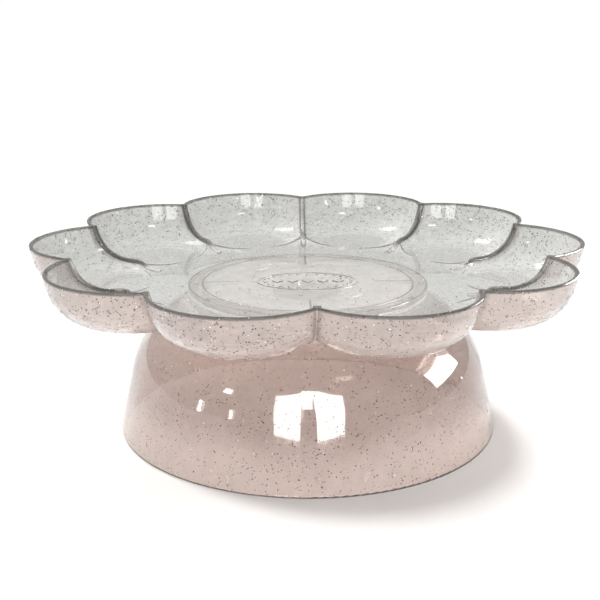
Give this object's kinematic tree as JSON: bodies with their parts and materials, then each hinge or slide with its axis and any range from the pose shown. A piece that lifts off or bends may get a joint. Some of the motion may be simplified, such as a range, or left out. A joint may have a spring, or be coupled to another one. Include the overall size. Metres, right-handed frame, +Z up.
{
  "type": "cake turntable",
  "caption": "Clear glitter-flecked cake stand: a scalloped dish with petal-shaped sides that turns on a ball race over a wide bowl-shaped foot.",
  "frame": {"origin": "centre of the foot's rim, on the table", "axes": "+Z up along the turning axis; a cusp between two petals points along -Y"},
  "size_m": [0.3096, 0.299, 0.106],
  "materials": {
    "clear_polystyrene": "clear moulded polystyrene with fine glitter flakes",
    "rose_polystyrene": "rose-tinted clear moulded polystyrene with fine glitter flakes",
    "glitter_flake": "metallised film flakes set in the plastic",
    "natural_polypropylene": "natural moulded polypropylene",
    "ball_acrylic": "clear polished acrylic",
    "clear_pin": "clear moulded polycarbonate",
    "natural_acetal": "natural acetal"
  },
  "bodies": {
    "foot": {"base_bowl": "rose_polystyrene", "pivot_bush": "natural_acetal", "hub_cap": "rose_polystyrene"},
    "dish": {"plate": "clear_polystyrene", "centre_pin": "clear_pin", "thrust_washer": "natural_acetal", "retaining_clip": "natural_acetal"},
    "cage": {"ball_cage": "natural_polypropylene"},
    "ball_01_body": {"ball_01": "ball_acrylic"},
    "ball_02_body": {"ball_02": "ball_acrylic"},
    "ball_03_body": {"ball_03": "ball_acrylic"},
    "ball_04_body": {"ball_04": "ball_acrylic"},
    "ball_05_body": {"ball_05": "ball_acrylic"},
    "ball_06_body": {"ball_06": "ball_acrylic"},
    "ball_07_body": {"ball_07": "ball_acrylic"},
    "ball_08_body": {"ball_08": "ball_acrylic"},
    "ball_09_body": {"ball_09": "ball_acrylic"},
    "ball_10_body": {"ball_10": "ball_acrylic"},
    "ball_11_body": {"ball_11": "ball_acrylic"},
    "ball_12_body": {"ball_12": "ball_acrylic"}
  },
  "joints": [
    {"name": "plate_spin", "type": "hinge", "parent": "foot", "child": "dish", "pos_m": [0, 0, 0.082], "axis": [0, 0, 1], "continuous": true},
    {"name": "cage_spin", "type": "hinge", "parent": "foot", "child": "cage", "pos_m": [0, 0, 0.07775], "axis": [0, 0, 1], "continuous": true},
    {"name": "ball_roll_01", "type": "hinge", "parent": "cage", "child": "ball_01_body", "pos_m": [0.0632, 0, 0.07775], "axis": [1, 0, 0], "continuous": true},
    {"name": "ball_roll_02", "type": "hinge", "parent": "cage", "child": "ball_02_body", "pos_m": [0.05473, 0.0316, 0.07775], "axis": [0.866, 0.5, 0], "continuous": true},
    {"name": "ball_roll_03", "type": "hinge", "parent": "cage", "child": "ball_03_body", "pos_m": [0.0316, 0.05473, 0.07775], "axis": [0.5, 0.866, 0], "continuous": true},
    {"name": "ball_roll_04", "type": "hinge", "parent": "cage", "child": "ball_04_body", "pos_m": [0, 0.0632, 0.07775], "axis": [0, 1, 0], "continuous": true},
    {"name": "ball_roll_05", "type": "hinge", "parent": "cage", "child": "ball_05_body", "pos_m": [-0.0316, 0.05473, 0.07775], "axis": [-0.5, 0.866, 0], "continuous": true},
    {"name": "ball_roll_06", "type": "hinge", "parent": "cage", "child": "ball_06_body", "pos_m": [-0.05473, 0.0316, 0.07775], "axis": [-0.866, 0.5, 0], "continuous": true},
    {"name": "ball_roll_07", "type": "hinge", "parent": "cage", "child": "ball_07_body", "pos_m": [-0.0632, 0, 0.07775], "axis": [-1, 0, 0], "continuous": true},
    {"name": "ball_roll_08", "type": "hinge", "parent": "cage", "child": "ball_08_body", "pos_m": [-0.05473, -0.0316, 0.07775], "axis": [-0.866, -0.5, 0], "continuous": true},
    {"name": "ball_roll_09", "type": "hinge", "parent": "cage", "child": "ball_09_body", "pos_m": [-0.0316, -0.05473, 0.07775], "axis": [-0.5, -0.866, 0], "continuous": true},
    {"name": "ball_roll_10", "type": "hinge", "parent": "cage", "child": "ball_10_body", "pos_m": [0, -0.0632, 0.07775], "axis": [0, -1, 0], "continuous": true},
    {"name": "ball_roll_11", "type": "hinge", "parent": "cage", "child": "ball_11_body", "pos_m": [0.0316, -0.05473, 0.07775], "axis": [0.5, -0.866, 0], "continuous": true},
    {"name": "ball_roll_12", "type": "hinge", "parent": "cage", "child": "ball_12_body", "pos_m": [0.05473, -0.0316, 0.07775], "axis": [0.866, -0.5, 0], "continuous": true}
  ],
  "couplings": [
    {"joint": "cage_spin", "follows": "plate_spin", "ratio": 0.5},
    {"joint": "ball_roll_01", "follows": "plate_spin", "ratio": -15.8},
    {"joint": "ball_roll_02", "follows": "plate_spin", "ratio": -15.8},
    {"joint": "ball_roll_03", "follows": "plate_spin", "ratio": -15.8},
    {"joint": "ball_roll_04", "follows": "plate_spin", "ratio": -15.8},
    {"joint": "ball_roll_05", "follows": "plate_spin", "ratio": -15.8},
    {"joint": "ball_roll_06", "follows": "plate_spin", "ratio": -15.8},
    {"joint": "ball_roll_07", "follows": "plate_spin", "ratio": -15.8},
    {"joint": "ball_roll_08", "follows": "plate_spin", "ratio": -15.8},
    {"joint": "ball_roll_09", "follows": "plate_spin", "ratio": -15.8},
    {"joint": "ball_roll_10", "follows": "plate_spin", "ratio": -15.8},
    {"joint": "ball_roll_11", "follows": "plate_spin", "ratio": -15.8},
    {"joint": "ball_roll_12", "follows": "plate_spin", "ratio": -15.8}
  ]
}
